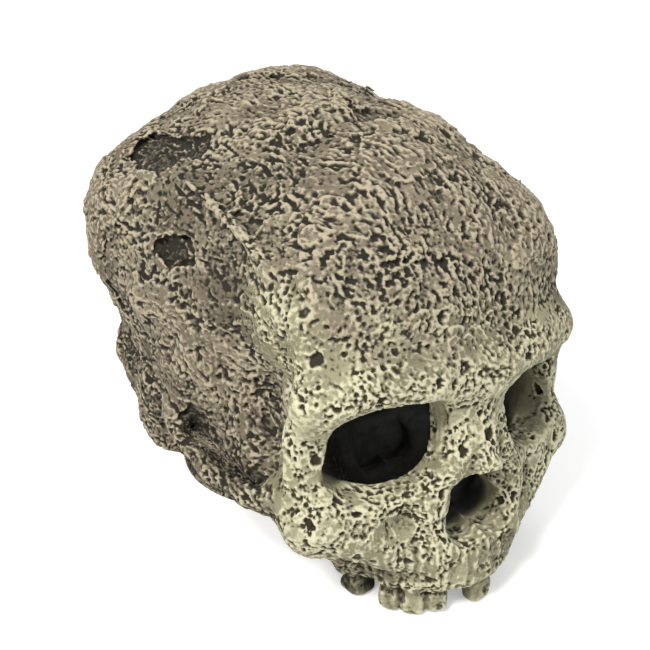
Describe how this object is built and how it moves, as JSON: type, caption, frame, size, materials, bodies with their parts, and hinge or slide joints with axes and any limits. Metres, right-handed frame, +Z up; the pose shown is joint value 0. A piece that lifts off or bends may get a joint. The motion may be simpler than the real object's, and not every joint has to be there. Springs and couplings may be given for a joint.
{
  "type": "aquarium bubbling ornament",
  "caption": "Weathered hollow skull ornament that lifts off a tray carrying its air line, non-return valve, regulating valve and air stone.",
  "frame": {"origin": "on the resting plane and the skull's middle plane, 6 mm in front of the ear openings, near the middle of the footprint", "axes": "+Z up, the face looks towards -Y, +X is the skull's own left side"},
  "size_m": [0.1204, 0.1662, 0.1366],
  "materials": {
    "stone_resin": "cast resin, pitted like weathered stone, dark wash in the pits and pale dry brushing on the high parts",
    "tray_plastic": "fine moulded texture, matt",
    "pad_rubber": "matt",
    "screw_steel": "satin",
    "air_stone_grit": "bonded mineral grains, open and rough",
    "fitting_plastic": "moulded, semi-gloss",
    "seal_rubber": "matt",
    "valve_plastic": "moulded, slightly milky",
    "spindle_plastic": "moulded acetal, natural white",
    "knob_plastic": "moulded, semi-gloss",
    "silicone_tube": "milky silicone"
  },
  "bodies": {
    "base": {"base_tray": "tray_plastic", "stone_cradle": "tray_plastic", "foot_pads": "pad_rubber", "cradle_screws": "screw_steel", "air_stone": "air_stone_grit", "air_stone_nipple": "fitting_plastic", "inlet_fitting": "fitting_plastic", "inlet_nut": "fitting_plastic", "inlet_oring": "seal_rubber", "check_valve_inlet_half": "valve_plastic", "check_valve_outlet_half": "valve_plastic", "flow_valve_body": "valve_plastic", "flow_valve_gland_nut": "fitting_plastic", "inlet_hose": "silicone_tube", "valve_hose": "silicone_tube", "stone_hose": "silicone_tube"},
    "skull": {"skull_shell": "stone_resin"},
    "valve_spindle": {"flow_valve_spindle": "spindle_plastic", "flow_valve_oring": "seal_rubber", "flow_valve_knob": "knob_plastic"},
    "check_disc": {"check_valve_disc": "seal_rubber"}
  },
  "joints": [
    {"name": "skull_lift", "type": "slide", "parent": "base", "child": "skull", "axis": [0, 0, 1], "range_m": [0, 0.06]},
    {"name": "flow_valve_turn", "type": "hinge", "parent": "base", "child": "valve_spindle", "pos_m": [0.016, 0.05, 0.012], "axis": [0, 1, 0], "range_deg": [0, 90]},
    {"name": "check_disc_lift", "type": "slide", "parent": "base", "child": "check_disc", "axis": [0, -1, 0], "range_m": [0, 0.0008]}
  ]
}
